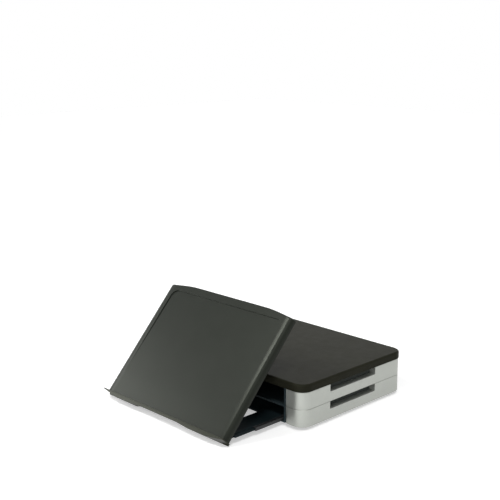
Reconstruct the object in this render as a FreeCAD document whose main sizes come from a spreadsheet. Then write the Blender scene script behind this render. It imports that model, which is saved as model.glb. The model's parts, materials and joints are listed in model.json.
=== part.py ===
import FreeCAD, Part
import os
import re
import Sketcher
from FreeCAD import Placement, Rotation, Vector

# Monitor stand with a slide-out copyholder, in millimetres, +Z up.
# The stand has two stacked levels under a top plate. The copyholder tilts on a tray
# that slides out of the lower level. Origin: bottom centre of the whole object.

doc = FreeCAD.newDocument("MonitorStand")

# Driving sizes
SIZES = {
    # Stand
    "standWidth": (442, "width across the top plate"),
    "standDepth": (293, "depth of the top plate"),
    "cornerRound": (23, "plan radius of the outer corners"),
    "plateThick": (14.7, "height of the top plate"),
    "plateEdgeRound": (4, "rounding of the plate's top edge"),
    "plateOverhang": (1, "plate beyond the side covers"),
    "plateWall": (3, "skirt of the top plate"),
    "plateSkin": (3.2, "top skin of the plate"),
    "plateRib": (2, "rib under the plate"),
    "plateRibDrop": (1, "ribs end this far above the plate's lower edge"),
    "plateLongRibs": (3, "ribs under the plate that run left to right"),
    "plateCrossRibs": (5, "ribs under the plate that run front to back"),
    "moduleHeight": (33.6, "height of one level"),
    "sideWidth": (45, "width of a side cover"),
    "sideWall": (2.6, "wall of a side cover"),
    "innerRound": (7, "front inner corner of a side cover"),
    "seamRound": (0.7, "edge rounding at the seams"),
    "notchStart": (75.5, "front end of the grip notch"),
    "notchLength": (130.5, "length of the grip notch"),
    "notchHeight": (14.5, "height of the grip notch"),
    "notchDepth": (14, "depth of the grip notch"),
    "notchRound": (2, "lower corners of the grip notch"),
    "gripPlate": (2, "plate that closes the back of a grip notch"),
    "gripPlateDrop": (7, "that plate below the notch's floor"),
    "gripPlateFit": (0.1, "play of that plate at each end"),
    "bossRadius": (8, "bosses in the side covers and plate"),
    "bossInset": (32, "boss centre from the front or back"),
    "bossIn": (22, "boss centre from the outer face of a cover"),
    "pegRadius": (3, "stacking pegs"),
    "pegLength": (16, "stacking pegs"),
    "pegFit": (0.1, "play of pegs and foot stems in their holes"),
    "footRadius": (10, "rubber feet"),
    "footHeight": (6, "rubber feet below the covers"),
    "footStem": (10, "stem of a foot in its boss"),
    "footBevel": (1.2, "lower edge of a foot"),
    "chassisWall": (2, "side and back walls of a chassis"),
    "chassisFloor": (2.5, "floor of the lower chassis"),
    "shelfThick": (3, "floor of the upper chassis"),
    "chassisSet": (2, "chassis front behind the stand front"),
    "sideScrewInset": (18, "cover screws from the front or back"),
    "sideScrewDrop": (9, "cover screws below the level's top"),
    "plateScrewIn": (9, "plate screws from the cover's inner face"),
    "plateScrewPitch": (80, "plate screws along one side"),
    # Fasteners
    "screwRadius": (1.6, "screw shanks"),
    "screwHead": (3, "screw heads"),
    "headThick": (1, "screw heads"),
    "screwLength": (8, "screws below the head"),
    "screwFit": (0.1, "play of screws in their holes"),
    "rivetRadius": (1.2, "rivets of the slides"),
    "rivetHead": (2.4, "heads of the runner rivets"),
    "rivetHeadThick": (0.8, "heads of the runner rivets, let into the sheet"),
    "rivetInset": (30, "end rivets from the ends of a runner"),
    "runnerRivets": (3, "rivets of each runner"),
    # Slides
    "slideGap": (0.25, "running gap of the slides"),
    "railWall": (1.2, "sheet of runners and rails"),
    "tongueThick": (3, "tongue on the tray's arms"),
    "runnerReach": (9.5, "depth of a runner channel"),
    "runnerSet": (5, "runner front behind the stand front"),
    "runnerLength": (280, "runners"),
    "railAhead": (68, "rails in front of the stand"),
    "railLength": (275, "rails"),
    "tieWidth": (13, "cross tie of the rails"),
    "tieThick": (6, "cross tie between the rails"),
    "tieRound": (1, "upright edges of the cross tie"),
    # Tray
    "trayGap": (0.5, "tray above the chassis floor"),
    "trayPlay": (1, "tray inside the runners, each side"),
    "trayThick": (7, "tray frame"),
    "trayWall": (2, "walls of the tray's arms"),
    "trayAhead": (128, "front edge of the tray in front of the stand"),
    "trayLength": (288, "tray frame"),
    "tongueSet": (11, "tongues behind the tray's front edge"),
    "armWidth": (42, "arms of the tray"),
    "frontBar": (30, "front bar of the tray"),
    "rearBar": (24, "rear bar of the tray"),
    "trayRound": (10, "corners of the tray"),
    "openingRound": (8, "corners of the tray's opening"),
    "cellCount": (6, "hollow cells under each arm"),
    # Hinges
    "hingeAhead": (120, "hinge axis in front of the stand"),
    "hingeHeight": (21.8, "hinge axis above the desk"),
    "hingeInset": (22.5, "hinge centre from the tray's side"),
    "lugWidth": (14, "lug under the panel"),
    "barrelRadius": (5, "lug and ears round the pin"),
    "earThick": (4, "ears of a bracket"),
    "washerThick": (0.8, "friction washers"),
    "washerInset": (0.2, "edge of the washers inside the barrel"),
    "pinRadius": (2.5, "hinge pins"),
    "pinFit": (0.05, "play of the pins"),
    "pinHead": (4.2, "head of a pin"),
    "pinHeadThick": (1.6, "head of a pin"),
    "clipThick": (0.8, "retaining clip of a pin"),
    "baseThick": (2, "base of a bracket, let into the tray"),
    "baseBehind": (13, "bracket base behind the axis"),
    "baseAhead": (6, "bracket base in front of the axis"),
    "smallScrew": (1.2, "bracket, lug and ledge screws"),
    "smallHead": (2.4, "heads of those screws"),
    "smallLength": (5, "length of those screws below the head"),
    "smallInset": (3.5, "those screws from the end of their piece"),
    "lugFlange": (18, "flange of a lug above the axis"),
    "lugFlangeThick": (2, "flange of a lug"),
    # Copyholder panel, in its own plane
    "panelTilt": (47.6, "degrees from flat"),
    "hingeUp": (20, "hinge axis above the panel's lower edge"),
    "hingeBehind": (10.2, "hinge axis behind the panel's front"),
    "panelPlay": (1.5, "panel inside the walls of the bay, each side"),
    "panelLength": (256.5, "panel along its slope, in the middle"),
    "panelDepth": (10.5, "depth of the shoulders"),
    "panelSkin": (4, "front skin"),
    "panelWall": (2.6, "shoulder walls"),
    "shoulderRound": (9, "rounding of the shoulders"),
    "archRun": (59.5, "fall of the upper edge at each side, across"),
    "archDrop": (7.5, "fall of the upper edge at each side, down"),
    "archRound": (300, "where the upper edge starts to fall"),
    "recessInset": (17.3, "front recess from the panel's side"),
    "recessTop": (16.5, "front recess below the panel's top"),
    "recessStart": (44, "where the recess fades out"),
    "recessDepth": (2, "recess at its top"),
    "recessRound": (16, "top corners of the recess"),
    "panelEndRound": (2.5, "upper end of the panel"),
    "ribThick": (2, "ribs behind the panel"),
    "ribDepth": (6, "ribs behind the panel"),
    "ribStart": (58, "first cross rib"),
    "ribPitch": (56, "pitch of the cross ribs"),
    "crossRibs": (4, "cross ribs"),
    "longRibs": (4, "ribs along the slope"),
    "longRibStart": (36, "lower end of the ribs along the slope"),
    # Document ledge
    "ledgeDepth": (10, "ledge in front of the panel"),
    "ledgeBack": (13, "ledge behind the panel's front"),
    "ledgeThick": (8, "front wall of the ledge"),
    "ledgeRear": (5, "rear wall of the ledge"),
    "ledgeWall": (2.2, "walls of the ledge"),
    "ledgeEndRun": (41, "slope at each end of the ledge, across"),
    "ledgeEndRise": (6.2, "slope at each end of the ledge, up"),
    "ledgeScrews": (4, "ledge screws"),
    "ledgeScrewHalf": (120, "outer ledge screws from the middle"),
    "ledgeScrewBack": (9, "ledge screws behind the panel's front"),
    "ledgeEdgeRound": (0.7, "front edges of the ledge"),
    "gripCut": (2.4, "cut-back in the ledge's lower edge"),
    "gripLength": (100, "cut-back, at its full depth"),
    "gripRamp": (34, "run-out of the cut-back at each end"),
    "rearCutLength": (150, "rear wall of the ledge cut away to the roof"),
    "rearCutRamp": (25, "run-out of that cut at each end"),
    # Cutting and joining
    "overCut": (1, "cuts run on past the faces they leave"),
    "rootIn": (0.5, "ribs and bosses reach into the skin that carries them"),
}

sheet = doc.addObject("Spreadsheet::Sheet", "Sizes")
for row, (alias, (size, note)) in enumerate(SIZES.items(), start=1):
    sheet.set(f"A{row}", note)
    sheet.set(f"B{row}", str(size))
    sheet.setAlias(f"B{row}", alias)
doc.recompute()

# Places worked out from the sizes, as expressions
DERIVED = {
    "coverHalf": "(standWidth / 2 - plateOverhang)",
    "coverInner": "(coverHalf - sideWidth)",
    "bayHalf": "(coverInner - chassisWall)",
    "seamHeight": "(footHeight + moduleHeight)",
    "plateBottom": "(footHeight + 2 * moduleHeight)",
    "runnerBottom": "(footHeight + chassisFloor)",
    "railTall": "(tongueThick + 2 * slideGap + 2 * railWall)",
    "runnerTall": "(railTall + 2 * slideGap + 2 * railWall)",
    "slideMiddle": "(runnerBottom + runnerTall / 2)",
    "channelInner": "(bayHalf - runnerReach)",
    "railOuter": "(bayHalf - railWall - slideGap)",
    "tongueTip": "(railOuter - railWall - slideGap)",
    "tieRivetX": "((channelInner + railOuter) / 2)",
    "trayHalf": "(channelInner - trayPlay)",
    "trayBottom": "(runnerBottom + trayGap)",
    "trayTop": "(trayBottom + trayThick)",
    "trayFront": "(-trayAhead)",
    "trayBack": "(trayLength - trayAhead)",
    "railFront": "(-railAhead)",
    "railBack": "(railLength - railAhead)",
    "earInner": "(lugWidth / 2 + washerThick)",
    "earOuter": "(earInner + earThick)",
    "hingeSpread": "(trayHalf - hingeInset)",
    "panelHalf": "(bayHalf - panelPlay)",
    "archHalf": "(panelHalf - archRun)",
    "notchEnd": "(notchStart + notchLength)",
    "notchBack": "(coverHalf - notchDepth)",
    "notchFloor": "(moduleHeight - notchHeight)",
    "ledgeReach": "((hingeUp + ledgeThick) * cos(panelTilt) + (hingeBehind + ledgeDepth) * sin(panelTilt))",
    "frontReach": "(hingeAhead + ledgeReach)",
    "middleShift": "((frontReach - standDepth) / 2)",
    "coverBoss": "(coverHalf - bossIn)",
}


def sized(text):
    """Expression text with every size name written out as a cell of the sheet."""
    def replace(match):
        word = match.group()
        if word in DERIVED:
            return sized(DERIVED[word])
        return f"Sizes.{word}" if word in SIZES else word
    return re.sub(r"[A-Za-z]\w*", replace, str(text))


def number(text):
    """Present value of an expression."""
    return float(sheet.evalExpression(sized(text)))


def bind(thing, prop, text):
    thing.setExpression(prop, sized(text))


def place(thing, x="0", y="middleShift", z="0"):
    """Ties a sub-part's place to the sheet."""
    bind(thing, "Placement.Base.x", x)
    bind(thing, "Placement.Base.y", y)
    bind(thing, "Placement.Base.z", z)


def new_body(label, x="0", y="0", z="0"):
    body = doc.addObject("PartDesign::Body", label)
    body.Label = label
    place(body, x, f"middleShift + {y}", z)
    return body


def tilt_with_panel(thing):
    """Gives a sub-part the panel's frame: X across, Y up the slope, Z out of the front."""
    thing.Placement = Placement(Vector(), Rotation(Vector(1, 0, 0), 1))
    bind(thing, "Placement.Rotation.Angle", "panelTilt")
    place(thing, "0",
          "middleShift - hingeAhead - hingeUp * cos(panelTilt) - hingeBehind * sin(panelTilt)",
          "hingeHeight - hingeUp * sin(panelTilt) + hingeBehind * cos(panelTilt)")
    return thing


def origin_part(body, role):
    return next(item for item in body.Origin.OriginFeatures if item.Role == role)


def new_sketch(body, plane, offset="0", turn=None, x=None, y=None):
    """Sketch on one of the body's own planes, moved along that plane's normal and in the plane."""
    sketch = body.newObject("Sketcher::SketchObject", body.Label + "_sketch")
    sketch.AttachmentSupport = [(origin_part(body, plane + "_Plane"), "")]
    sketch.MapMode = "FlatFace"
    if turn:
        sketch.AttachmentOffset = Placement(Vector(), Rotation(Vector(1, 0, 0), 1))
        bind(sketch, "AttachmentOffset.Rotation.Angle", turn)
    bind(sketch, "AttachmentOffset.Base.z", offset)
    if x:
        bind(sketch, "AttachmentOffset.Base.x", x)
    if y:
        bind(sketch, "AttachmentOffset.Base.y", y)
    return sketch


def fix(sketch, kind, geometry, point, text):
    """Distance from the sketch's origin to a point, bound to the sheet."""
    index = sketch.addConstraint(Sketcher.Constraint(kind, -1, 1, geometry, point, number(text)))
    bind(sketch, f"Constraints[{index}]", text)


def outline(sketch, corners):
    """Closed outline through corners (x, y) or (x, y, radius), lines with tangent arcs.

    Corners with a radius lie between lines that run along the sketch's axes.
    """
    count = len(corners)
    points = [Vector(number(c[0]), number(c[1]), 0) for c in corners]
    radii = [number(c[2]) if len(c) > 2 else 0 for c in corners]

    def trimmed(i, j):
        way = (points[j] - points[i]).normalize()
        return points[i] + way * radii[i]
    lines = []
    for i in range(count):
        j = (i + 1) % count
        line = Part.LineSegment(trimmed(i, j), trimmed(j, i))
        lines.append(sketch.addGeometry(line, False))
    for i in range(count):
        before = lines[i - 1]
        after = lines[i]
        if not radii[i]:
            sketch.addConstraint(Sketcher.Constraint("Coincident", before, 2, after, 1))
            continue
        start = trimmed(i, i - 1)
        end = trimmed(i, (i + 1) % count)
        middle = start + end - points[i]
        way = (points[i] - middle).normalize()
        arc = sketch.addGeometry(Part.Arc(start, middle + way * radii[i], end), False)
        flipped = (start - middle).cross(end - middle).z < 0
        sketch.addConstraint(Sketcher.Constraint("Tangent", before, 2, arc, 2 if flipped else 1))
        sketch.addConstraint(Sketcher.Constraint("Tangent", arc, 1 if flipped else 2, after, 1))
        index = sketch.addConstraint(Sketcher.Constraint("Radius", arc, radii[i]))
        bind(sketch, f"Constraints[{index}]", corners[i][2])
    straight = []
    for i in range(count):
        j = (i + 1) % count
        if corners[i][0] == corners[j][0]:
            sketch.addConstraint(Sketcher.Constraint("Vertical", lines[i]))
            fix(sketch, "DistanceX", lines[i], 1, corners[i][0])
            straight.append("x")
        elif corners[i][1] == corners[j][1]:
            sketch.addConstraint(Sketcher.Constraint("Horizontal", lines[i]))
            fix(sketch, "DistanceY", lines[i], 1, corners[i][1])
            straight.append("y")
        else:
            straight.append("")
    for i in range(count):
        known = {straight[i - 1], straight[i]}
        if "x" not in known:
            fix(sketch, "DistanceX", lines[i], 1, corners[i][0])
        if "y" not in known:
            fix(sketch, "DistanceY", lines[i], 1, corners[i][1])


def box_outline(sketch, left, right, low, high, radius=None):
    extra = (radius,) if radius else ()
    outline(sketch, [(left, low) + extra, (right, low) + extra, (right, high) + extra, (left, high) + extra])


def circle(sketch, x, y, radius):
    centre = Vector(number(x), number(y), 0)
    index = sketch.addGeometry(Part.Circle(centre, Vector(0, 0, 1), number(radius)), False)
    fix(sketch, "DistanceX", index, 3, x)
    fix(sketch, "DistanceY", index, 3, y)
    bound = sketch.addConstraint(Sketcher.Constraint("Radius", index, number(radius)))
    bind(sketch, f"Constraints[{bound}]", radius)


def feature(body, kind, sketch, length, back=False, middle=False):
    """Pad or Pocket of a sketch. A pad goes along the sketch's normal, back turns it round."""
    made = body.newObject("PartDesign::" + kind, body.Label + "_" + kind.lower())
    made.Profile = sketch
    bind(made, "Length", length)
    made.Reversed = back
    if middle:
        made.SideType = "Symmetric"
    return made


def pad(body, sketch, length, back=False, middle=False):
    return feature(body, "Pad", sketch, length, back, middle)


def pocket(body, sketch, length, back=False, middle=False):
    """A pocket cuts against the sketch's normal, back turns it round. It has to remove something."""
    doc.recompute()
    before = body.Shape.Volume
    made = feature(body, "Pocket", sketch, length, back, middle)
    doc.recompute()
    if body.Shape.Volume > before - 1e-6:
        raise ValueError(f"{body.Label}: a pocket removed nothing")
    return made


def round_edges(body, test, radius, kind="Fillet"):
    """Rounds or chamfers the edges of the body's present shape that pass the test."""
    doc.recompute()
    tip = body.Tip
    names = [f"Edge{i}" for i, edge in enumerate(tip.Shape.Edges, start=1) if test(edge)]
    if not names:
        raise ValueError(f"{body.Label}: no edge to round")
    made = body.newObject("PartDesign::" + kind, body.Label + "_" + kind.lower())
    made.Base = (tip, names)
    bind(made, "Radius" if kind == "Fillet" else "Size", radius)
    return made


def pattern(body, originals, axis, length, count):
    made = body.newObject("PartDesign::LinearPattern", body.Label + "_pattern")
    made.Originals = originals
    made.Direction = (origin_part(body, axis + "_Axis"), [""])
    bind(made, "Length", length)
    bind(made, "Occurrences", count)
    body.Tip = made
    return made


def at(edge, x=None, y=None, z=None, gap=0.01):
    """Whether both ends and the middle of an edge have the given coordinates."""
    wanted = (x, y, z)
    spots = [vertex.Point for vertex in edge.Vertexes] + [edge.CenterOfMass]
    for spot in spots:
        for have, want in zip(spot, wanted):
            if want is not None and abs(have - want) > gap:
                return False
    return True


def along(edge, axis):
    """Whether a straight edge runs along an axis."""
    if edge.Curve.TypeId != "Part::GeomLine":
        return False
    return abs(abs(edge.Curve.Direction.dot(axis)) - 1) < 1e-6


UP = Vector(0, 0, 1)
SIDES = {"left": -1, "right": 1}


def cover_screw_spots():
    """Y of the cover screws from the front of the stand."""
    return ["sideScrewInset", "(standDepth - sideScrewInset)"]


def rivet_spots():
    """Y of a runner's rivets from its front end."""
    pitch = "(runnerLength - 2 * rivetInset) / (runnerRivets - 1)"
    return [f"(rivetInset + {index} * {pitch})" for index in range(round(number("runnerRivets")))]


def ledge_screw_spots():
    """X of the ledge screws."""
    pitch = "2 * ledgeScrewHalf / (ledgeScrews - 1)"
    return [f"(-ledgeScrewHalf + {index} * {pitch})" for index in range(round(number("ledgeScrews")))]


def plate_screw_spots():
    """Y of the plate screws from the front of the stand."""
    return [f"(standDepth / 2 + {way} * plateScrewPitch / 2)" for way in SIDES.values()]


# Silver side covers, hollow from below, with a grip notch in the top edge
def side_cover(label, side, bottom, carries_plate):
    body = new_body(label, z=bottom)
    outer = f"{side} * coverHalf"
    inner = f"{side} * coverInner"
    back = "(standDepth - plateOverhang)"
    plan_round = "(cornerRound - plateOverhang)"
    plan = new_sketch(body, "XY")
    outline(plan, [(inner, "plateOverhang", "innerRound"), (outer, "plateOverhang", plan_round),
                   (outer, back, plan_round), (inner, back)])
    pad(body, plan, "moduleHeight")
    edge_x = number(inner)

    def seam(edge):
        flat = at(edge, z=0) or at(edge, z=number("moduleHeight"))
        return flat and not at(edge, x=edge_x)
    round_edges(body, seam, "seamRound", "Chamfer")

    # The hollow is three cells, and the middle one is open to the notch's back
    cells = new_sketch(body, "XY")
    wall_out = f"{side} * (coverHalf - sideWall)"
    wall_in = f"{side} * (coverInner + sideWall)"
    notch_back = f"{side} * notchBack"
    cell_front = "(plateOverhang + sideWall)"
    cell_back = "(standDepth - plateOverhang - sideWall)"
    cell_round = "(cornerRound - plateOverhang - sideWall)"
    outline(cells, [(wall_in, cell_front, "innerRound"), (wall_out, cell_front, cell_round),
                    (wall_out, "(notchStart - sideWall)"), (wall_in, "(notchStart - sideWall)")])
    box_outline(cells, wall_in, notch_back, "notchStart", "notchEnd")
    outline(cells, [(wall_in, "(notchEnd + sideWall)"), (wall_out, "(notchEnd + sideWall)"),
                    (wall_out, cell_back, cell_round), (wall_in, cell_back)])
    pocket(body, cells, "moduleHeight - sideWall", back=True)
    below = new_sketch(body, "XY")
    box_outline(below, notch_back, wall_out, "notchStart", "notchEnd")
    pocket(body, below, "notchFloor - sideWall", back=True)

    notch = new_sketch(body, "YZ", outer)
    outline(notch, [("notchStart", "notchFloor", "notchRound"), ("notchEnd", "notchFloor", "notchRound"),
                    ("notchEnd", "(moduleHeight + overCut)"), ("notchStart", "(moduleHeight + overCut)")])
    pocket(body, notch, "notchDepth", back=side < 0)

    bosses = new_sketch(body, "XY")
    holes = new_sketch(body, "XY")
    for spot in ("bossInset", "(standDepth - bossInset)"):
        circle(bosses, f"{side} * coverBoss", spot, "bossRadius")
        circle(holes, f"{side} * coverBoss", spot, "(pegRadius + pegFit)")
    pad(body, bosses, "moduleHeight - sideWall / 2")
    pocket(body, holes, "moduleHeight", back=True)

    screw_holes = new_sketch(body, "YZ", inner)
    for spot in cover_screw_spots():
        circle(screw_holes, spot, "(moduleHeight - sideScrewDrop)", "(screwRadius + screwFit)")
    pocket(body, screw_holes, "sideWall + overCut", back=side > 0)
    if carries_plate:
        plate_holes = new_sketch(body, "XY", "moduleHeight")
        for spot in plate_screw_spots():
            circle(plate_holes, f"{side} * (coverInner + plateScrewIn)", spot, "(screwRadius + screwFit)")
        pocket(body, plate_holes, "sideWall + overCut")
    return body


def grip_plates():
    """Plates that close the backs of the grip notches, between the end walls of the covers."""
    body = new_body("grip_plates", y="notchStart + gripPlateFit",
                    z="footHeight + notchFloor - gripPlateDrop")
    plan = new_sketch(body, "XY")
    for side in SIDES.values():
        box_outline(plan, f"{side} * (notchBack - gripPlate)", f"{side} * notchBack", "0",
                    "(notchLength - 2 * gripPlateFit)")
    level = pad(body, plan, "notchHeight - sideWall + gripPlateDrop")
    pattern(body, [level], "Z", "moduleHeight", "2")
    return body


# Black chassis trays, open at the front
def chassis(label, bottom, floor_thick, height, screw_rise, rivets):
    body = new_body(label, z=bottom)
    front = "chassisSet"
    back = "(standDepth - chassisSet)"
    floor = new_sketch(body, "XY")
    box_outline(floor, "-coverInner", "coverInner", front, back)
    pad(body, floor, floor_thick)
    walls = new_sketch(body, "XY")
    behind = "(standDepth - chassisSet - chassisWall)"
    outline(walls, [("-coverInner", front), ("-coverInner", back), ("coverInner", back),
                    ("coverInner", front), ("bayHalf", front), ("bayHalf", behind, "chassisWall"),
                    ("-bayHalf", behind, "chassisWall"), ("-bayHalf", front)])
    pad(body, walls, height)
    holes = new_sketch(body, "YZ")
    seats = new_sketch(body, "YZ")
    for spot in cover_screw_spots():
        circle(holes, spot, screw_rise, "(screwRadius + screwFit)")
        circle(seats, spot, screw_rise, "(screwHead + screwFit)")
    if rivets:
        for spot in rivet_spots():
            circle(holes, f"(runnerSet + {spot})", f"(slideMiddle - {bottom})", "(rivetRadius + screwFit)")
    pocket(body, holes, "2 * (coverInner + overCut)", middle=True)
    pocket(body, seats, "2 * (bayHalf + headThick)", middle=True)
    return body


# Top plate, ribbed below, with bosses over the covers
def top_plate():
    body = new_body("top_plate", z="plateBottom")
    plan = new_sketch(body, "XY")
    box_outline(plan, "(-standWidth / 2)", "(standWidth / 2)", "0", "standDepth", "cornerRound")
    pad(body, plan, "plateThick")
    round_edges(body, lambda edge: at(edge, z=number("plateThick")), "plateEdgeRound")
    round_edges(body, lambda edge: at(edge, z=0), "seamRound", "Chamfer")
    inside = new_sketch(body, "XY")
    box_outline(inside, "(-standWidth / 2 + plateWall)", "(standWidth / 2 - plateWall)", "plateWall",
                "(standDepth - plateWall)", "(cornerRound - plateWall)")
    pocket(body, inside, "plateThick - plateSkin", back=True)
    rib_height = "plateThick - plateSkin - plateRibDrop + rootIn"
    long_pitch = "(standDepth / (plateLongRibs + 1))"
    long_rib = new_sketch(body, "XY", "plateRibDrop")
    box_outline(long_rib, "(-standWidth / 2 + plateWall - rootIn)", "(standWidth / 2 - plateWall + rootIn)",
                f"({long_pitch} - plateRib / 2)", f"({long_pitch} + plateRib / 2)")
    long_pad = pad(body, long_rib, rib_height)
    pattern(body, [long_pad], "Y", f"{long_pitch} * (plateLongRibs - 1)", "plateLongRibs")
    cross_pitch = "(standWidth / (plateCrossRibs + 1))"
    cross_rib = new_sketch(body, "XY", "plateRibDrop")
    box_outline(cross_rib, f"(-standWidth / 2 + {cross_pitch} - plateRib / 2)",
                f"(-standWidth / 2 + {cross_pitch} + plateRib / 2)",
                "(plateWall - rootIn)", "(standDepth - plateWall + rootIn)")
    cross_pad = pad(body, cross_rib, rib_height)
    pattern(body, [cross_pad], "X", f"{cross_pitch} * (plateCrossRibs - 1)", "plateCrossRibs")
    bosses = new_sketch(body, "XY")
    peg_holes = new_sketch(body, "XY")
    screw_holes = new_sketch(body, "XY")
    for side in SIDES.values():
        for spot in ("bossInset", "(standDepth - bossInset)"):
            circle(bosses, f"{side} * coverBoss", spot, "bossRadius")
            circle(peg_holes, f"{side} * coverBoss", spot, "(pegRadius + pegFit)")
        for spot in plate_screw_spots():
            circle(bosses, f"{side} * (coverInner + plateScrewIn)", spot, "(screwRadius + plateWall)")
            circle(screw_holes, f"{side} * (coverInner + plateScrewIn)", spot, "(screwRadius + screwFit)")
    pad(body, bosses, "plateThick - plateSkin + rootIn")
    pocket(body, peg_holes, "pegLength / 2 + overCut", back=True)
    pocket(body, screw_holes, "screwLength - sideWall + overCut", back=True)
    return body


# Round pieces turned about their own axis
def turned(body, sketch, axis):
    made = body.newObject("PartDesign::Revolution", body.Label + "_turned")
    made.Profile = sketch
    made.ReferenceAxis = (sketch, [axis])
    made.Angle = 360
    return made


def grid(body, turned_part, first, second):
    """Repeats a turned part along two axes, each given as (axis, length, count)."""
    made = pattern(body, [turned_part], *first)
    made.Direction2 = (origin_part(body, second[0] + "_Axis"), [""])
    bind(made, "Length2", second[1])
    bind(made, "Occurrences2", second[2])
    return made


def screw_outline(sketch, along_x, start, head, head_thick, shank, length, way="1"):
    """Half section of a screw from its head at start, along the sketch's X or Y."""
    under = f"({start} + {way} * {head_thick})"
    tip = f"({start} + {way} * ({head_thick} + {length}))"
    corners = [("0", start), (head, start), (head, under), (shank, under), (shank, tip), ("0", tip)]
    outline(sketch, [(y, x) for x, y in corners] if along_x else corners)


def rubber_feet():
    body = new_body("rubber_feet", x="-coverBoss", y="bossInset")
    profile = new_sketch(body, "XZ")
    top = "(footHeight + footStem)"
    outline(profile, [("0", "0"), ("(footRadius - footBevel)", "0"), ("footRadius", "footBevel"),
                      ("footRadius", "footHeight"), ("pegRadius", "footHeight"), ("pegRadius", top),
                      ("0", top)])
    grid(body, turned(body, profile, "V_Axis"), ("X", "2 * coverBoss", "2"),
         ("Y", "standDepth - 2 * bossInset", "2"))
    return body


def stacking_pegs():
    body = new_body("stacking_pegs", x="-coverBoss", y="bossInset")
    profile = new_sketch(body, "XZ")
    for middle in ("seamHeight", "plateBottom"):
        box_outline(profile, "0", "pegRadius", f"({middle} - pegLength / 2)", f"({middle} + pegLength / 2)")
    grid(body, turned(body, profile, "V_Axis"), ("X", "2 * coverBoss", "2"),
         ("Y", "standDepth - 2 * bossInset", "2"))
    return body


def side_screws():
    body = new_body("side_screws", y="sideScrewInset", z="seamHeight - sideScrewDrop")
    profile = new_sketch(body, "XY")
    screw_outline(profile, True, "bayHalf", "screwHead", "headThick", "screwRadius", "screwLength")
    screw_outline(profile, True, "-bayHalf", "screwHead", "headThick", "screwRadius", "screwLength", "-1")
    grid(body, turned(body, profile, "H_Axis"), ("Y", "standDepth - 2 * sideScrewInset", "2"),
         ("Z", "moduleHeight", "2"))
    return body


def plate_screws():
    body = new_body("plate_screws", x="-coverInner - plateScrewIn", y="(standDepth - plateScrewPitch) / 2",
                    z="plateBottom")
    profile = new_sketch(body, "XZ")
    start = "(-sideWall - headThick)"
    screw_outline(profile, False, start, "screwHead", "headThick", "screwRadius", "screwLength")
    grid(body, turned(body, profile, "V_Axis"), ("X", "2 * (coverInner + plateScrewIn)", "2"),
         ("Y", "plateScrewPitch", "2"))
    return body


# Slides: a rail runs in a runner, and the tray's tongue in the rail
def channel(label, side, outer, tall, front, length):
    """Channel open towards the middle of the stand, centred on the slide's height."""
    body = new_body(label, y=front, z="slideMiddle")
    section = new_sketch(body, "XZ")
    back_x = f"{side} * {outer}"
    web_x = f"{side} * ({outer} - railWall)"
    lip_x = f"{side} * channelInner"
    top = f"({tall} / 2)"
    bottom = f"(-{tall} / 2)"
    under_top = f"({tall} / 2 - railWall)"
    over_bottom = f"(-{tall} / 2 + railWall)"
    outline(section, [(back_x, bottom), (back_x, top), (lip_x, top), (lip_x, under_top), (web_x, under_top),
                      (web_x, over_bottom), (lip_x, over_bottom), (lip_x, bottom)])
    pad(body, section, length, back=True)
    return body


def runner(label, side):
    body = channel(label, side, "bayHalf", "runnerTall", "runnerSet", "runnerLength")
    holes = new_sketch(body, "YZ", f"{side} * bayHalf")
    seats = new_sketch(body, "YZ", f"{side} * (bayHalf - railWall)")
    for spot in rivet_spots():
        circle(holes, spot, "0", "(rivetRadius + screwFit)")
        circle(seats, spot, "0", "(rivetHead + screwFit)")
    pocket(body, holes, "railWall", back=side < 0)
    pocket(body, seats, "rivetHeadThick", back=side > 0)
    return body


def runner_rivets():
    body = new_body("runner_rivets", y="runnerSet + rivetInset", z="slideMiddle")
    profile = new_sketch(body, "XY")
    start = "(bayHalf - railWall)"
    length = "(railWall - rivetHeadThick + chassisWall)"
    screw_outline(profile, True, start, "rivetHead", "rivetHeadThick", "rivetRadius", length)
    screw_outline(profile, True, f"(-{start})", "rivetHead", "rivetHeadThick", "rivetRadius", length, "-1")
    pattern(body, [turned(body, profile, "H_Axis")], "Y", "runnerLength - 2 * rivetInset",
            "runnerRivets")
    return body


def slide_rail(label, side):
    body = channel(label, side, "railOuter", "railTall", "railFront", "railLength")
    hole = new_sketch(body, "XY")
    circle(hole, f"{side} * tieRivetX", "(railLength - tieWidth / 2)", "(rivetRadius + screwFit)")
    pocket(body, hole, "railTall + overCut", middle=True)
    return body


def rail_cross_tie():
    body = new_body("rail_cross_tie", y="railBack - tieWidth", z="slideMiddle")
    ends = new_sketch(body, "XY")
    box_outline(ends, "-tongueTip", "tongueTip", "0", "tieWidth")
    pad(body, ends, "tongueThick", middle=True)
    bar = new_sketch(body, "XY")
    box_outline(bar, "-trayHalf", "trayHalf", "0", "tieWidth", "tieRound")
    pad(body, bar, "tieThick", middle=True)
    hole = new_sketch(body, "XY")
    for side in SIDES.values():
        circle(hole, f"{side} * tieRivetX", "(tieWidth / 2)", "(rivetRadius + screwFit)")
    pocket(body, hole, "tieThick", middle=True)
    return body


def tie_rivets():
    body = new_body("tie_rivets", x="-tieRivetX", y="railBack - tieWidth / 2", z="slideMiddle")
    profile = new_sketch(body, "XZ")
    box_outline(profile, "0", "rivetRadius", "(-railTall / 2)", "(railTall / 2)")
    pattern(body, [turned(body, profile, "V_Axis")], "X", "2 * tieRivetX", "2")
    return body


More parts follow.
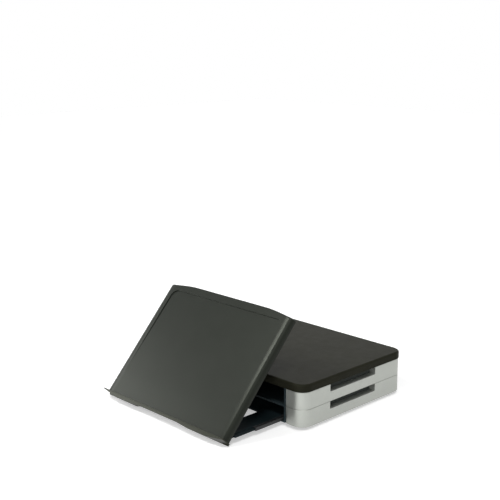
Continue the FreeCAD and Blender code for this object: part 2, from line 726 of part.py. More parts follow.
# Tray: two arms joined by a front and a rear bar, hollow below
def tray_frame():
    body = new_body("tray_frame", z="trayBottom")
    inner = "(trayHalf - armWidth)"
    open_front = "(trayFront + frontBar)"
    open_back = "(trayBack - rearBar)"
    plan = new_sketch(body, "XY")
    box_outline(plan, "-trayHalf", "trayHalf", "trayFront", "trayBack", "trayRound")
    pad(body, plan, "trayThick")
    round_edges(body, lambda edge: at(edge, z=number("trayThick")), "seamRound", "Chamfer")
    opening = new_sketch(body, "XY")
    box_outline(opening, f"-{inner}", inner, open_front, open_back, "openingRound")
    pocket(body, opening, "trayThick", back=True)

    tongues = new_sketch(body, "XY", "slideMiddle - tongueThick / 2 - trayBottom")
    for side in SIDES.values():
        box_outline(tongues, f"{side} * (trayHalf - trayWall)", f"{side} * tongueTip",
                    "(trayFront + tongueSet)", "(trayBack - trayRound)")
    pad(body, tongues, "tongueThick")

    pitch = "((trayLength - frontBar - rearBar) / cellCount)"
    cells = new_sketch(body, "XY")
    for side in SIDES.values():
        box_outline(cells, f"{side} * (trayHalf - armWidth + trayWall)", f"{side} * (trayHalf - trayWall)",
                    f"({open_front} + trayWall / 2)", f"({open_front} + {pitch} - trayWall / 2)")
    cell = pocket(body, cells, "trayThick - trayWall", back=True)
    pattern(body, [cell], "Y", f"{pitch} * (cellCount - 1)", "cellCount")
    bars = new_sketch(body, "XY")
    bar_half = "(trayHalf - trayRound)"
    box_outline(bars, f"-{bar_half}", bar_half, "(trayFront + trayWall)", f"({open_front} - trayWall)")
    box_outline(bars, f"-{bar_half}", bar_half, f"({open_back} + trayWall)", "(trayBack - trayWall)")
    pocket(body, bars, "trayThick - trayWall - baseThick", back=True)

    seats = new_sketch(body, "XY", "trayThick")
    holes = new_sketch(body, "XY", "trayThick")
    for side in SIDES.values():
        near = f"{side} * (hingeSpread - earOuter)"
        far = f"{side} * (hingeSpread + earOuter)"
        box_outline(seats, near, far, "(-hingeAhead - baseAhead)", "(-hingeAhead + baseBehind)")
        for way in (-1, 1):
            circle(holes, f"({side} * hingeSpread + {way} * earOuter / 2)",
                   "(-hingeAhead + baseBehind - smallInset)", "(smallScrew + screwFit)")
    pocket(body, seats, "baseThick")
    pocket(body, holes, "trayThick")
    return body


# Hinges: a bracket with two ears on the tray, a lug under the panel, a pin through both
def arch(sketch, low, axis_x, axis_y, radius):
    """Upright slot outline: flat end at low, round end about the axis. Low may lie on either side."""
    x = number(axis_x)
    y = number(axis_y)
    r = number(radius)
    base = number(low)
    way = 1 if y > base else -1
    low_left = Vector(x - r, base, 0)
    low_right = Vector(x + r, base, 0)
    high_left = Vector(x - r, y, 0)
    high_right = Vector(x + r, y, 0)
    left = sketch.addGeometry(Part.LineSegment(low_left, high_left), False)
    arc = sketch.addGeometry(Part.Arc(high_left, Vector(x, y + way * r, 0), high_right), False)
    right = sketch.addGeometry(Part.LineSegment(high_right, low_right), False)
    flat = sketch.addGeometry(Part.LineSegment(low_right, low_left), False)
    arc_start, arc_end = (2, 1) if way > 0 else (1, 2)
    sketch.addConstraint(Sketcher.Constraint("Tangent", left, 2, arc, arc_start))
    sketch.addConstraint(Sketcher.Constraint("Tangent", arc, arc_end, right, 1))
    sketch.addConstraint(Sketcher.Constraint("Coincident", right, 2, flat, 1))
    sketch.addConstraint(Sketcher.Constraint("Coincident", flat, 2, left, 1))
    sketch.addConstraint(Sketcher.Constraint("Vertical", left))
    sketch.addConstraint(Sketcher.Constraint("Horizontal", flat))
    fix(sketch, "DistanceX", arc, 3, axis_x)
    fix(sketch, "DistanceY", arc, 3, axis_y)
    fix(sketch, "DistanceY", flat, 1, low)
    index = sketch.addConstraint(Sketcher.Constraint("Radius", arc, r))
    bind(sketch, f"Constraints[{index}]", radius)


def hinge_bracket(label, side):
    body = new_body(label, x=f"{side} * hingeSpread", y="-hingeAhead", z="hingeHeight")
    seat = "(trayTop - hingeHeight)"
    base = new_sketch(body, "XY", f"{seat} - baseThick")
    box_outline(base, "-earOuter", "earOuter", "-baseAhead", "baseBehind")
    pad(body, base, "baseThick")
    ears = new_sketch(body, "YZ")
    arch(ears, seat, "0", "0", "barrelRadius")
    pad(body, ears, "2 * earOuter", middle=True)
    slot = new_sketch(body, "YZ")
    beyond = "(barrelRadius + overCut)"
    box_outline(slot, f"(-{beyond})", beyond, seat, beyond)
    pocket(body, slot, "2 * earInner", middle=True)
    bore = new_sketch(body, "YZ")
    circle(bore, "0", "0", "(pinRadius + pinFit)")
    pocket(body, bore, "2 * (earOuter + overCut)", middle=True)
    holes = new_sketch(body, "XY", seat)
    for way in (-1, 1):
        circle(holes, f"{way} * earOuter / 2", "(baseBehind - smallInset)", "(smallScrew + screwFit)")
    pocket(body, holes, "baseThick")
    return body


def bracket_screws():
    body = new_body("bracket_screws", x="-hingeSpread - earOuter / 2",
                    y="-hingeAhead + baseBehind - smallInset", z="trayTop")
    profile = new_sketch(body, "XZ")
    screw_outline(profile, False, "headThick", "smallHead", "headThick", "smallScrew", "smallLength", "-1")
    grid(body, turned(body, profile, "V_Axis"), ("X", "earOuter", "2"), ("X", "2 * hingeSpread", "2"))
    return body


def hinge_pin(label, side):
    body = new_body(label, x=f"{side} * hingeSpread", y="-hingeAhead", z="hingeHeight")
    profile = new_sketch(body, "XY")
    head_end = f"{side} * (earOuter + pinHeadThick)"
    head_seat = f"{side} * earOuter"
    groove_near = f"{-side} * earOuter"
    groove_far = f"{-side} * (earOuter + clipThick)"
    tip = f"{-side} * (earOuter + 2 * clipThick)"
    groove = "(pinRadius - clipThick)"
    outline(profile, [(head_end, "0"), (head_end, "pinHead"), (head_seat, "pinHead"),
                      (head_seat, "pinRadius"), (groove_near, "pinRadius"), (groove_near, groove),
                      (groove_far, groove), (groove_far, "pinRadius"), (tip, "pinRadius"), (tip, "0")])
    turned(body, profile, "H_Axis")
    return body


def pin_clips():
    body = new_body("pin_clips", y="-hingeAhead", z="hingeHeight")
    profile = new_sketch(body, "XY")
    for side in SIDES.values():
        box_outline(profile, f"{side} * (hingeSpread - earOuter)",
                    f"{side} * (hingeSpread - earOuter - clipThick)",
                    "(pinRadius - clipThick + pinFit)", "pinHead")
    turned(body, profile, "H_Axis")
    return body


def friction_washers():
    body = new_body("friction_washers", y="-hingeAhead", z="hingeHeight")
    profile = new_sketch(body, "XY")
    for side in SIDES.values():
        for way in SIDES.values():
            box_outline(profile, f"({side} * hingeSpread + {way} * lugWidth / 2)",
                        f"({side} * hingeSpread + {way} * earInner)", "(pinRadius + pinFit)",
                        "(barrelRadius - washerInset)")
    turned(body, profile, "H_Axis")
    return body


def hinge_lug(label, side):
    body = tilt_with_panel(new_body(label))
    middle = f"{side} * hingeSpread"
    flange = new_sketch(body, "XY", "-panelSkin - lugFlangeThick")
    box_outline(flange, f"({middle} - lugWidth / 2)", f"({middle} + lugWidth / 2)",
                "(hingeUp - barrelRadius)", "(hingeUp + lugFlange)")
    pad(body, flange, "lugFlangeThick")
    knuckle = new_sketch(body, "YZ", f"{middle} - lugWidth / 2")
    arch(knuckle, "(-panelSkin)", "hingeUp", "-hingeBehind", "barrelRadius")
    pad(body, knuckle, "lugWidth")
    bore = new_sketch(body, "YZ", f"{middle} - lugWidth / 2 - overCut")
    circle(bore, "hingeUp", "-hingeBehind", "(pinRadius + pinFit)")
    pocket(body, bore, "lugWidth + 2 * overCut", back=True)
    hole = new_sketch(body, "XY", "-panelSkin")
    circle(hole, middle, "(hingeUp + lugFlange - smallInset)", "(smallScrew + screwFit)")
    pocket(body, hole, "lugFlangeThick")
    return body


# Copyholder: a hollow panel with rounded shoulders, an arched upper edge and a shallow recess
def copyholder_panel():
    body = tilt_with_panel(new_body("copyholder_panel"))
    section = new_sketch(body, "XZ")
    outline(section, [("-panelHalf", "-panelDepth"), ("-panelHalf", "0", "shoulderRound"),
                      ("panelHalf", "0", "shoulderRound"), ("panelHalf", "-panelDepth")])
    pad(body, section, "panelLength", back=True)

    # The upper edge falls to each side
    falls = new_sketch(body, "XY", "-panelDepth")
    low = "(panelLength - archDrop)"
    beyond = "(panelLength + overCut)"
    for side in SIDES.values():
        start = f"{side} * archHalf"
        end = f"{side} * (panelHalf + overCut)"
        outline(falls, [(start, "panelLength"), (f"{side} * panelHalf", low), (end, low), (end, beyond),
                        (start, beyond)])
    pocket(body, falls, "panelDepth + overCut", back=True)
    top = number("panelLength")
    bend = number("archHalf")
    back_face = number("-panelDepth")
    low_top = number("panelLength - archDrop")

    def bends(edge):
        return along(edge, UP) and (at(edge, x=bend, y=top) or at(edge, x=-bend, y=top))
    round_edges(body, bends, "archRound")

    def upper_end(edge):
        spots = [vertex.Point for vertex in edge.Vertexes]
        return min(spot.y for spot in spots) > low_top - 0.01 and not at(edge, z=back_face)
    round_edges(body, upper_end, "panelEndRound")

    # The cross ribs are what the cells between them leave standing
    inner = "(panelHalf - panelWall)"
    low_end = "(panelLength - archDrop - panelWall)"

    def cell(start, length):
        hollow = new_sketch(body, "XZ", f"-{start}")
        inner_round = "(shoulderRound - panelSkin)"
        outline(hollow, [(f"-{inner}", "(-panelDepth - overCut)"), (f"-{inner}", "-panelSkin", inner_round),
                         (inner, "-panelSkin", inner_round), (inner, "(-panelDepth - overCut)")])
        return pocket(body, hollow, length)
    last_rib = "(ribStart + (crossRibs - 1) * ribPitch + ribThick)"
    cell("panelWall", "ribStart - panelWall")
    cell(last_rib, f"{low_end} - {last_rib}")
    middle_cell = cell("(ribStart + ribThick)", "ribPitch - ribThick")
    pattern(body, [middle_cell], "Y", "(crossRibs - 2) * ribPitch", "crossRibs - 1")
    crown = new_sketch(body, "XY", "-panelSkin")
    outline(crown, [(f"-{inner}", low_end), (inner, low_end), ("archHalf", "(panelLength - panelWall)"),
                    ("-archHalf", "(panelLength - panelWall)")])
    pocket(body, crown, "panelDepth")
    under_ribs = "(-panelSkin - ribDepth)"
    shallow = new_sketch(body, "XY", under_ribs)
    box_outline(shallow, f"-{inner}", inner, "panelWall", low_end)
    pocket(body, shallow, "panelDepth")

    recess_length = "(panelLength - recessTop - recessStart)"
    recess = new_sketch(body, "XY", "0", f"-atan(recessDepth / {recess_length})", y="recessStart")
    half = "(panelHalf - recessInset)"
    outline(recess, [(f"-{half}", "(-overCut)"), (half, "(-overCut)"),
                     (half, recess_length, "recessRound"), (f"-{half}", recess_length, "recessRound")])
    pocket(body, recess, "2 * recessDepth", back=True)

    pitch = "(2 * panelHalf / (longRibs + 1))"
    long_rib = new_sketch(body, "XY", under_ribs)
    box_outline(long_rib, f"(-panelHalf + {pitch} - ribThick / 2)", f"(-panelHalf + {pitch} + ribThick / 2)",
                "longRibStart", f"({low_end} + rootIn)")
    lengthwise = pad(body, long_rib, "ribDepth + rootIn")
    pattern(body, [lengthwise], "X", f"{pitch} * (longRibs - 1)", "longRibs")

    lug_holes = new_sketch(body, "XY", "-panelSkin")
    for side in SIDES.values():
        circle(lug_holes, f"{side} * hingeSpread", "(hingeUp + lugFlange - smallInset)",
               "(smallScrew + screwFit)")
    pocket(body, lug_holes, "smallLength - lugFlangeThick + screwFit", back=True)
    ledge_holes = new_sketch(body, "XZ")
    for spot in ledge_screw_spots():
        circle(ledge_holes, spot, "-ledgeScrewBack", "(smallScrew + screwFit)")
    pocket(body, ledge_holes, "panelWall + overCut")
    return body


def lug_screws():
    body = tilt_with_panel(new_body("lug_screws"))
    profile = new_sketch(body, "XZ", "-hingeUp - lugFlange + smallInset", x="-hingeSpread")
    start = "(-panelSkin - lugFlangeThick - headThick)"
    screw_outline(profile, False, start, "smallHead", "headThick", "smallScrew", "smallLength")
    pattern(body, [turned(body, profile, "V_Axis")], "X", "2 * hingeSpread", "2")
    return body


# Ledge along the lower edge that the sheets stand on, hollow from below
def document_ledge():
    body = tilt_with_panel(new_body("document_ledge"))
    foot = "(-ledgeThick)"
    beyond = "(-ledgeThick - overCut)"
    shoulder = "(-ledgeThick + ledgeEndRise)"
    low_half = "(panelHalf - ledgeEndRun)"
    front_view = new_sketch(body, "XY", "-ledgeBack")
    outline(front_view, [("-panelHalf", "0"), ("panelHalf", "0"), ("panelHalf", shoulder), (low_half, foot),
                         (f"-{low_half}", foot), ("-panelHalf", shoulder)])
    pad(body, front_view, "ledgeBack + ledgeDepth")
    front = number("ledgeDepth")
    round_edges(body, lambda edge: at(edge, z=front), "ledgeEdgeRound")

    inside_front = "(ledgeDepth - ledgeWall)"
    behind = "(-ledgeBack - overCut)"
    below = new_sketch(body, "YZ")
    outline(below, [(beyond, inside_front), (foot, inside_front), ("-ledgeRear", "-ledgeBack"),
                    ("-ledgeRear", behind), (beyond, behind)])
    pocket(body, below, "2 * (panelHalf + overCut)", middle=True)

    slope = "(ledgeEndRun / ledgeEndRise)"
    slope_wall = "(ledgeWall * sqrt(ledgeEndRun ^ 2 + ledgeEndRise ^ 2) / ledgeEndRun)"
    roof_half = f"({low_half} + (ledgeThick - ledgeWall - {slope_wall}) * {slope})"
    mouth_half = f"({low_half} - (overCut + {slope_wall}) * {slope})"
    hollow = new_sketch(body, "XY", "-ledgeBack + ledgeWall")
    outline(hollow, [(f"-{roof_half}", "-ledgeWall"), (roof_half, "-ledgeWall"),
                     (mouth_half, beyond), (f"-{mouth_half}", beyond)])
    pocket(body, hollow, "ledgeBack + ledgeDepth - 2 * ledgeWall", back=True)

    # The rear wall runs straight to the ends, and is cut away to the roof in the middle
    rear = new_sketch(body, "XY", "-ledgeBack")
    box_outline(rear, "-panelHalf", "panelHalf", "-ledgeRear", "0")
    pad(body, rear, "ledgeWall")
    rear_cut = new_sketch(body, "XY", "-ledgeBack + ledgeWall")
    rear_half = "(rearCutLength / 2)"
    rear_ramp = "(rearCutLength / 2 + rearCutRamp)"
    outline(rear_cut, [(f"-{rear_half}", "-ledgeWall"), (rear_half, "-ledgeWall"), (rear_ramp, beyond),
                       (f"-{rear_ramp}", beyond)])
    pocket(body, rear_cut, "ledgeWall + overCut")

    grip = new_sketch(body, "XY", "ledgeDepth")
    grip_half = "(gripLength / 2)"
    ramp_half = "(gripLength / 2 + gripRamp)"
    cut_top = "(-ledgeThick + gripCut)"
    outline(grip, [(f"-{grip_half}", cut_top), (grip_half, cut_top), (ramp_half, foot), (ramp_half, beyond),
                   (f"-{ramp_half}", beyond), (f"-{ramp_half}", foot)])
    pocket(body, grip, "ledgeWall + screwFit")

    holes = new_sketch(body, "XZ")
    for spot in ledge_screw_spots():
        circle(holes, spot, "-ledgeScrewBack", "(smallScrew + screwFit)")
    pocket(body, holes, "ledgeWall + screwFit", back=True)
    return body


def ledge_screws():
    body = tilt_with_panel(new_body("ledge_screws"))
    profile = new_sketch(body, "XY", "-ledgeScrewBack", x="-ledgeScrewHalf")
    screw_outline(profile, False, "(panelWall + headThick)", "smallHead", "headThick", "smallScrew",
                  "smallLength", "-1")
    pattern(body, [turned(body, profile, "V_Axis")], "X", "2 * ledgeScrewHalf", "ledgeScrews")
    return body


# Every sub-part under the name of its file
upper_floor = "(seamHeight - shelfThick)"
chassis("lower_chassis", "footHeight", "chassisFloor", "moduleHeight - shelfThick",
        "(moduleHeight - sideScrewDrop)", True)
chassis("upper_chassis", upper_floor, "shelfThick", "moduleHeight + shelfThick",
        "(moduleHeight + shelfThick - sideScrewDrop)", False)
top_plate()
grip_plates()
rubber_feet()
stacking_pegs()
side_screws()
plate_screws()
runner_rivets()
rail_cross_tie()
tie_rivets()
tray_frame()
bracket_screws()
pin_clips()
friction_washers()
copyholder_panel()
document_ledge()
lug_screws()
ledge_screws()
for name, way in SIDES.items():
    side_cover(f"lower_side_{name}", way, "footHeight", False)
    side_cover(f"upper_side_{name}", way, "seamHeight", True)
    runner(f"runner_{name}", way)
    slide_rail(f"slide_rail_{name}", way)
    hinge_bracket(f"hinge_bracket_{name}", way)
    hinge_pin(f"hinge_pin_{name}", way)
    hinge_lug(f"hinge_lug_{name}", way)
doc.recompute()

# Checks, then one file for each sub-part
for item in doc.Objects:
    if "Invalid" in item.State or "Error" in item.State:
        raise RuntimeError(f"{item.Label} did not recompute: {item.State}")
bodies = [item for item in doc.Objects if item.isDerivedFrom("PartDesign::Body")]
for body in bodies:
    if body.Shape.isNull() or not body.Shape.isValid() or not body.Shape.Solids:
        raise RuntimeError(f"{body.Label} has no sound shape")

os.makedirs("parts", exist_ok=True)
for body in bodies:
    body.Shape.exportStep(f"parts/{body.Label}.step")
    print(body.Label, len(body.Shape.Solids), round(body.Shape.Volume / 1000, 2), "cm3")
print(len(bodies), "sub-parts, middle shift", round(number("middleShift"), 3))
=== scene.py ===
import json
import math

import bmesh
import bpy
from mathutils import Matrix, Vector

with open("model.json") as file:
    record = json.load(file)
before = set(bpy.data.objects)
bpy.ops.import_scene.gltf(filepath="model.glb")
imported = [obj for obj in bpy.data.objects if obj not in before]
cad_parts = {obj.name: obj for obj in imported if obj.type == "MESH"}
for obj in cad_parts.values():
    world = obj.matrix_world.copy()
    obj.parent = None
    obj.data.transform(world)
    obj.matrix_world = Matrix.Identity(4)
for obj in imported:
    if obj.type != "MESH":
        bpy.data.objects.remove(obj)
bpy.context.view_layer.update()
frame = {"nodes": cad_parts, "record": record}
cadNodes = frame["nodes"]
print("frame loaded:", len(cadNodes), "nodes")

white = (1, 1, 1, 1)
raySamples = 6  # of each Bevel and Ambient Occlusion node
wholeEdge = 0.25  # how far the rounded normal leaves the flat one on an edge that rubs fully


# A wrapped socket: sums written with it add Math nodes to its finish
class Wire:
    def __init__(self, finish, socket):
        self.finish = finish
        self.socket = socket

    def maths(self, operation, first, second):
        return self.finish.add("ShaderNodeMath", {"operation": operation}, {0: first, 1: second})

    def __add__(self, other):
        return self.maths("ADD", self, other)

    def __radd__(self, other):
        return self.maths("ADD", other, self)

    def __sub__(self, other):
        return self.maths("SUBTRACT", self, other)

    def __rsub__(self, other):
        return self.maths("SUBTRACT", other, self)

    def __mul__(self, other):
        return self.maths("MULTIPLY", self, other)

    def __rmul__(self, other):
        return self.maths("MULTIPLY", other, self)

    def __abs__(self):
        return self.maths("ABSOLUTE", self, 0)


# The nodes of a material or of the world
class Finish:
    def __init__(self, data):
        self.data = data
        self.data.use_nodes = True
        self.tree = self.data.node_tree
        self.tree.nodes.clear()

    # Settings first, then the values or links of the sockets
    def add(self, kind, settings, sockets, output=0):
        node = self.tree.nodes.new(kind)
        for key, value in settings.items():
            setattr(node, key, value)
        for key, value in sockets.items():
            if isinstance(value, Wire):
                self.tree.links.new(value.socket, node.inputs[key])
            else:
                node.inputs[key].default_value = value
        return Wire(self, node.outputs[output]) if len(node.outputs) else None

    def place(self):
        return self.add("ShaderNodeTexCoord", {}, {}, "Object")

    def noise(self, size, detail=2.0, stretch=None):
        place = self.place()
        if stretch:
            place = self.add("ShaderNodeMapping", {}, {"Vector": place, "Scale": stretch})
        return self.add("ShaderNodeTexNoise", {}, {"Vector": place, "Scale": 1 / size, "Detail": detail})

    # 0 at the span's low end, 1 at its high end
    def ramp(self, value, span):
        low, high = span
        return self.add("ShaderNodeMapRange", {}, {"Value": value, "From Min": low, "From Max": high})

    def bump(self, height, depth, strength, under):
        return self.add("ShaderNodeBump", {}, {"Height": height, "Distance": depth, "Strength": strength,
                                               "Normal": under})

    def blend(self, amount, first, second):
        settings = {"data_type": "RGBA", "clamp_factor": True}
        return self.add("ShaderNodeMix", settings, {0: amount, 6: first, 7: second}, 2)

    # The normal as if every edge were rounded off
    def rounded(self, radius):
        return self.add("ShaderNodeBevel", {"samples": raySamples}, {"Radius": radius})

    # 0 on a flat, towards 1 on an edge
    def edges(self, soft):
        flat = self.add("ShaderNodeNewGeometry", {}, {}, "Normal")
        same = self.add("ShaderNodeVectorMath", {"operation": "DOT_PRODUCT"}, {0: soft, 1: flat}, "Value")
        return self.ramp(1 - same, (0.0, wholeEdge))

    # 0 in the open, towards 1 in a corner: the mask for dust, for painted fill light in deep hollows and
    #                                       for painted shade in seams
    def corners(self, reach):
        settings = {"samples": raySamples, "only_local": False}
        return 1 - self.add("ShaderNodeAmbientOcclusion", settings, {"Distance": reach}, "AO")

    def close(self, sockets):
        shader = self.add("ShaderNodeBsdfPrincipled", {}, sockets)
        self.add("ShaderNodeOutputMaterial", {}, {"Surface": shader})
        return self.data


def shade(color, factor):
    return tuple(min(1.0, part * factor) for part in color) + (1,)


# Past its start the panel's front falls away to each end as a circle does, by past * past / (2 * radius)
def crowned(finish, crown, under):
    across = finish.add("ShaderNodeSeparateXYZ", {}, {0: finish.place()}, "X")
    past = finish.add("ShaderNodeMath", {"operation": "MAXIMUM"}, {0: abs(across) - crown["start"], 1: 0})
    return finish.bump(past * past * (-0.5 / crown["radius"]), 1.0, 1.0, under)


# Moulded plastic: spark-eroded grain, slight mottling and polish, edges that rub lighter, dusty corners,
# and painted fill light in deep hollows such as the chassis's bays
def mouldedPlastic(name, look):
    finish = Finish(bpy.data.materials.new(name))
    color = look["color"]
    soft = finish.rounded(look["edgeRadius"])
    mottle = finish.ramp(finish.noise(look["mottleSize"], 3.0), look["mottleSpan"])
    specks = finish.ramp(finish.noise(look["grainSize"] * look["speckScale"]), look["speckSpan"])
    tone = finish.blend(mottle, shade(color, 1 - look["mottle"]), shade(color, 1 + look["mottle"]))
    tone = finish.blend(specks * look["speck"], tone, shade(color, look["speckLift"]))
    tone = finish.blend(finish.edges(soft) * look["edgeRub"], tone, shade(color, look["rubLift"]))
    # Dust in the corners; with chassisLook's pale blue over a 35 mm reach it is also painted fill light,
    # lightening the bays where shade falls
    tone = finish.blend(finish.corners(look["dustAndFillLightReach"]) * look["dustAndFillLight"], tone, look["dustAndFillLightColor"] + (1,))
    form = crowned(finish, look["crown"], soft) if "crown" in look else soft
    grain = finish.bump(finish.noise(look["grainSize"]), look["grainDepth"], look["grainStrength"], form)
    swell = finish.noise(look["mottleSize"] * look["waveScale"], 1.0)
    waves = finish.bump(swell, look["waveDepth"], look["waveStrength"], grain)
    polish = finish.noise(look["mottleSize"] * look["polishScale"], 3.0) - 0.5
    return finish.close({"Base Color": tone, "Normal": waves,
                         "Roughness": look["roughness"] + polish * look["roughSpread"],
                         "Specular IOR Level": look["specular"], "Specular Tint": look["sheen"] + (1,)})


# Satin metallic paint: fine flake, faint orange peel, painted shade in the seams and under the plate's
# overhang
def satinPaint(name, look):
    finish = Finish(bpy.data.materials.new(name))
    color = look["color"]
    cells = finish.add("ShaderNodeTexVoronoi", {"feature": "F1"},
                       {"Vector": finish.place(), "Scale": 1 / look["flakeSize"]}, "Color")
    flake = finish.add("ShaderNodeSeparateColor", {}, {0: cells})
    cloud = finish.noise(look["cloudSize"])
    mixed = finish.ramp(flake * look["flakeShare"] + cloud * (1 - look["flakeShare"]), look["mixSpan"])
    tone = finish.blend(mixed, shade(color, 1 - look["spread"]), shade(color, 1 + look["spread"]))
    # Painted shade: the paint darkens where a seam or the plate's overhang closes over it
    paintedSeamShade = finish.corners(look["seamShadeReach"]) * look["seam"]
    tone = finish.blend(paintedSeamShade, tone, shade(color, look["seamShade"]))
    soft = finish.rounded(look["edgeRadius"])
    peel = finish.bump(finish.noise(look["peelSize"], 1.0), look["peelDepth"], look["peelStrength"], soft)
    sparkle = finish.bump(flake, look["flakeDepth"], look["flakeStrength"], peel)
    polish = finish.noise(look["cloudSize"] * look["polishScale"], 3.0) - 0.5
    return finish.close({"Base Color": tone, "Metallic": look["metallic"], "Normal": sparkle,
                         "Roughness": look["roughness"] + polish * look["roughSpread"],
                         "Coat Weight": look["coat"], "Coat Roughness": look["coatRoughness"]})


# Coated or plated sheet and wire: rolling marks along one way, wear on the edges
def drawnMetal(name, look):
    finish = Finish(bpy.data.materials.new(name))
    color = look["color"]
    soft = finish.rounded(look["edgeRadius"])
    marks = finish.noise(look["markSize"], 3.0, look["stretch"])
    tone = finish.blend(finish.ramp(marks, look["markSpan"]), shade(color, 1 - look["spread"]),
                        shade(color, 1 + look["spread"]))
    tone = finish.blend(finish.edges(soft) * look["edgeRub"], tone, look["bare"] + (1,))
    lines = finish.bump(marks, look["markDepth"], look["markStrength"], soft)
    return finish.close({"Base Color": tone, "Metallic": look["metallic"], "Normal": lines,
                         "Roughness": look["roughness"] + (marks - 0.5) * look["roughSpread"]})


# Lengths are in metres. A scale is a factor on the mottle's, grain's or cloud's size, a lift on the colour
# Its pale blue corner colour over a 35 mm reach is dust and painted fill light inside the bays
chassisLook = {"color": (0.019, 0.027, 0.030), "roughness": 0.5, "roughSpread": 0.12, "polishScale": 0.4,
               "specular": 0.1, "sheen": (0.9, 1, 0.98),
               "mottle": 0.10, "mottleSize": 0.03, "mottleSpan": (0.3, 0.7),
               "speck": 0.25, "speckScale": 1.7, "speckSpan": (0.62, 0.8), "speckLift": 1.9,
               "edgeRadius": 0.0004, "edgeRub": 0.06, "rubLift": 2.2,
               "dustAndFillLight": 0.6, "dustAndFillLightReach": 0.035, "dustAndFillLightColor": (0.055, 0.085, 0.098),
               "grainSize": 0.0009, "grainDepth": 0.00008, "grainStrength": 0.5,
               "waveScale": 2.5, "waveDepth": 0.0002, "waveStrength": 0.15}
plateLook = dict(chassisLook, color=(0.0165, 0.0165, 0.011), roughness=0.4, specular=0.035,
                 sheen=(0.94, 1, 0.78), mottleSize=0.04, edgeRadius=0.0006, edgeRub=0.1,
                 dustAndFillLight=0.05, dustAndFillLightReach=0.006, dustAndFillLightColor=(0.04, 0.04, 0.034))
gripLook = dict(chassisLook, color=(0.05, 0.056, 0.05), dustAndFillLight=0.1)
ledgeLook = dict(chassisLook, color=(0.022, 0.023, 0.016), roughness=0.32, roughSpread=0.06, specular=0.18,
                 sheen=(0.94, 1, 0.84), mottle=0.06, mottleSize=0.05, speck=0.1,
                 edgeRadius=0.0006, edgeRub=0.1, dustAndFillLight=0.15, dustAndFillLightReach=0.006, dustAndFillLightColor=(0.04, 0.044, 0.04),
                 grainSize=0.0007, grainDepth=0.00005, grainStrength=0.2)
panelLook = dict(ledgeLook, color=(0.010, 0.0118, 0.0095), specular=0.17,
                 crown={"start": 0.152, "radius": 0.06})
trayLook = dict(chassisLook, color=(0.006, 0.0105, 0.012), roughness=0.45, specular=0.06, dustAndFillLight=0.15)
hingeLook = dict(chassisLook, color=(0.02, 0.021, 0.021), roughness=0.4, specular=0.5, dustAndFillLight=0.1)
pegLook = dict(hingeLook, color=(0.45, 0.45, 0.42), speck=0.1)
rubberLook = dict(chassisLook, color=(0.016, 0.016, 0.016), roughness=0.85, specular=0.3, dustAndFillLight=0.1,
                  grainSize=0.002)
silverLook = {"color": (0.412, 0.427, 0.396), "spread": 0.03, "mixSpan": (0.2, 0.8),
              "roughness": 0.44, "roughSpread": 0.05, "polishScale": 0.3, "metallic": 0.75,
              "coat": 0.1, "coatRoughness": 0.3,
              "flakeSize": 0.0005, "flakeShare": 0.35, "flakeDepth": 0.00002, "flakeStrength": 0.2,
              "cloudSize": 0.02, "seam": 0.6, "seamShadeReach": 0.003, "seamShade": 0.3, "edgeRadius": 0.0005,
              "peelSize": 0.0015, "peelDepth": 0.00008, "peelStrength": 0.25}
slideLook = {"color": (0.016, 0.017, 0.018), "spread": 0.15, "roughness": 0.42, "roughSpread": 0.2,
             "metallic": 0.3, "edgeRadius": 0.0004, "edgeRub": 0.45, "bare": (0.3, 0.3, 0.29),
             "stretch": (1, 0.03, 1), "markSize": 0.0006, "markSpan": (0.3, 0.7),
             "markDepth": 0.00002, "markStrength": 0.3}
steelLook = dict(slideLook, color=(0.42, 0.42, 0.40), roughness=0.38, metallic=1.0, edgeRub=0.2,
                 bare=(0.6, 0.6, 0.58), stretch=None, markSize=0.0004)

# By the record's material slots, apart from two nodes with a finish of their own
finishes = {
    "plate_black": mouldedPlastic("plateBlack", plateLook),
    "panel_grey": mouldedPlastic("panelGrey", panelLook),
    "chassis_black": mouldedPlastic("chassisBlack", chassisLook),
    "tray_black": mouldedPlastic("trayBlack", trayLook),
    "hinge_black": mouldedPlastic("hingeBlack", hingeLook),
    "peg_plastic": mouldedPlastic("pegPlastic", pegLook),
    "foot_rubber": mouldedPlastic("footRubber", rubberLook),
    "cover_silver": satinPaint("coverSilver", silverLook),
    "slide_black": drawnMetal("slideBlack", slideLook),
    "fastener_steel": drawnMetal("fastenerSteel", steelLook),
}
ownFinish = {
    "document_ledge": mouldedPlastic("ledgeGrey", ledgeLook),
    "grip_plates": mouldedPlastic("gripGrey", gripLook),
}
slotOf = {part["node"]: part["material_slot"] for part in frame["record"]["subparts"]}
for name, node in cadNodes.items():
    if not node.material_slots:
        node.data.materials.append(None)
    for slot in node.material_slots:
        slot.material = ownFinish.get(name, finishes[slotOf[name]])
print("finishes set:", len(finishes) + len(ownFinish))


# 1 for what the camera sees, straight, mirrored or through glass, and 0 for light on its way elsewhere
def seenDirectly(finish):
    rays = [finish.add("ShaderNodeLightPath", {}, {}, ray)
            for ray in ("Is Camera Ray", "Is Glossy Ray", "Is Transmission Ray")]
    return finish.add("ShaderNodeMath", {"operation": "ADD", "use_clamp": True},
                      {0: rays[0] + rays[1], 1: rays[2]})


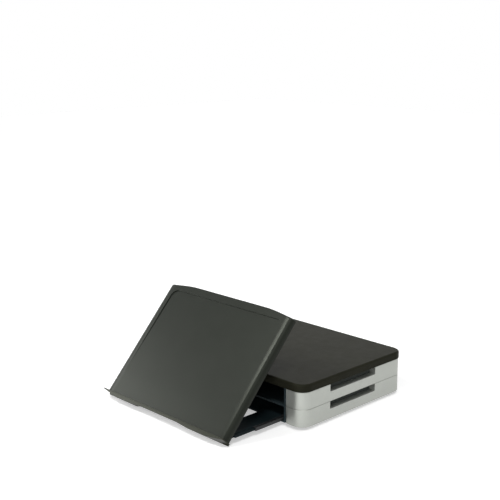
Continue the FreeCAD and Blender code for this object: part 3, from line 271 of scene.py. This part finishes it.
# Floor: pale, with the background's white added where it is seen directly
floorLook = {"half": 6.0, "color": (0.82, 0.82, 0.82, 1), "whiten": 0.45}
floorMesh = bpy.data.meshes.new("floor")
floorForm = bmesh.new()
bmesh.ops.create_grid(floorForm, x_segments=1, y_segments=1, size=floorLook["half"])
floorForm.to_mesh(floorMesh)
floorForm.free()
floor = bpy.data.objects.new("floor", floorMesh)
bpy.context.scene.collection.objects.link(floor)
floorFinish = Finish(bpy.data.materials.new("floorWhite"))
matte = floorFinish.add("ShaderNodeBsdfDiffuse", {}, {"Color": floorLook["color"]})
glow = floorFinish.add("ShaderNodeEmission", {},
                       {"Color": white, "Strength": seenDirectly(floorFinish) * floorLook["whiten"]})
both = floorFinish.add("ShaderNodeAddShader", {}, {0: matte, 1: glow})
floorFinish.add("ShaderNodeOutputMaterial", {}, {"Surface": both})
floorMesh.materials.append(floorFinish.data)

# World: white where it is seen directly, softer as a light
worldLook = {"strength": 0.36}
sky = Finish(bpy.data.worlds.new("studio"))
level = worldLook["strength"] + seenDirectly(sky) * (1 - worldLook["strength"])
backdrop = sky.add("ShaderNodeBackground", {}, {"Color": white, "Strength": level})
sky.add("ShaderNodeOutputWorld", {}, {"Surface": backdrop})
bpy.context.scene.world = sky.data
print("floor and world set")


# A lamp that looks at a target from a compass bearing and a height, both in degrees
def lampAt(name, look):
    bearing = math.radians(look["bearing"])
    height = math.radians(look["height"])
    outward = math.cos(height)
    way = Vector((math.sin(bearing) * outward, math.cos(bearing) * outward, math.sin(height)))
    data = bpy.data.lights.new(name, look["kind"])
    if look["kind"] == "AREA":
        data.shape = "RECTANGLE"
        data.size, data.size_y = look["size"]
        data.energy = look["radiance"] * math.pi * data.size * data.size_y
    else:
        data.angle = math.radians(look["softness"])
        data.energy = look["strength"]
    lamp = bpy.data.objects.new(name, data)
    bpy.context.scene.collection.objects.link(lamp)
    aim = way.to_track_quat("Z", "Y").to_matrix().to_4x4()
    lamp.matrix_world = Matrix.Translation(Vector(look["target"]) + way * look["distance"]) @ aim


lampLook = {
    "key": {"kind": "SUN", "bearing": 128, "height": 64, "softness": 12, "strength": 1.1,
            "target": (0, 0, 0), "distance": 3.0},
    "frontLeft": {"kind": "AREA", "bearing": -119, "height": 21, "size": (1.0, 0.95), "radiance": 7.0,
                  "target": (-0.1, -0.19, 0.02), "distance": 2.4},
    "frontFill": {"kind": "AREA", "bearing": 150, "height": 10, "size": (1.4, 0.6), "radiance": 6.0,
                  "target": (0.05, -0.1, 0.03), "distance": 2.5},
    "shoulderStrip": {"kind": "AREA", "bearing": -138, "height": 51, "size": (0.42, 0.24), "radiance": 44.0,
                      "target": (0.16, -0.12, 0.1), "distance": 2.0},
}
for name, look in lampLook.items():
    lampAt(name, look)
print("lamps set:", len(lampLook))

# Camera at the photograph's place, its turns in degrees and its lens in millimetres
cameraLook = {"place": (1.30989, -1.25940, 0.70392), "yaw": 45.74, "pitch": 12.76, "roll": -0.09,
              "lens": 69.51, "sensor": 36.0, "shift": (-0.00116, -0.00296)}
cameraData = bpy.data.cameras.new("camera")
cameraData.lens = cameraLook["lens"]
cameraData.sensor_width = cameraLook["sensor"]
cameraData.shift_x, cameraData.shift_y = cameraLook["shift"]
camera = bpy.data.objects.new("camera", cameraData)
bpy.context.scene.collection.objects.link(camera)
turn = Matrix.Rotation(math.radians(cameraLook["yaw"]), 4, "Z")
tip = Matrix.Rotation(math.radians(90 - cameraLook["pitch"]), 4, "X")
lean = Matrix.Rotation(math.radians(cameraLook["roll"]), 4, "Z")
camera.matrix_world = Matrix.Translation(cameraLook["place"]) @ turn @ tip @ lean
bpy.context.scene.camera = camera
bpy.context.scene.view_settings.view_transform = "Standard"
print("camera set")

print("scene ready")
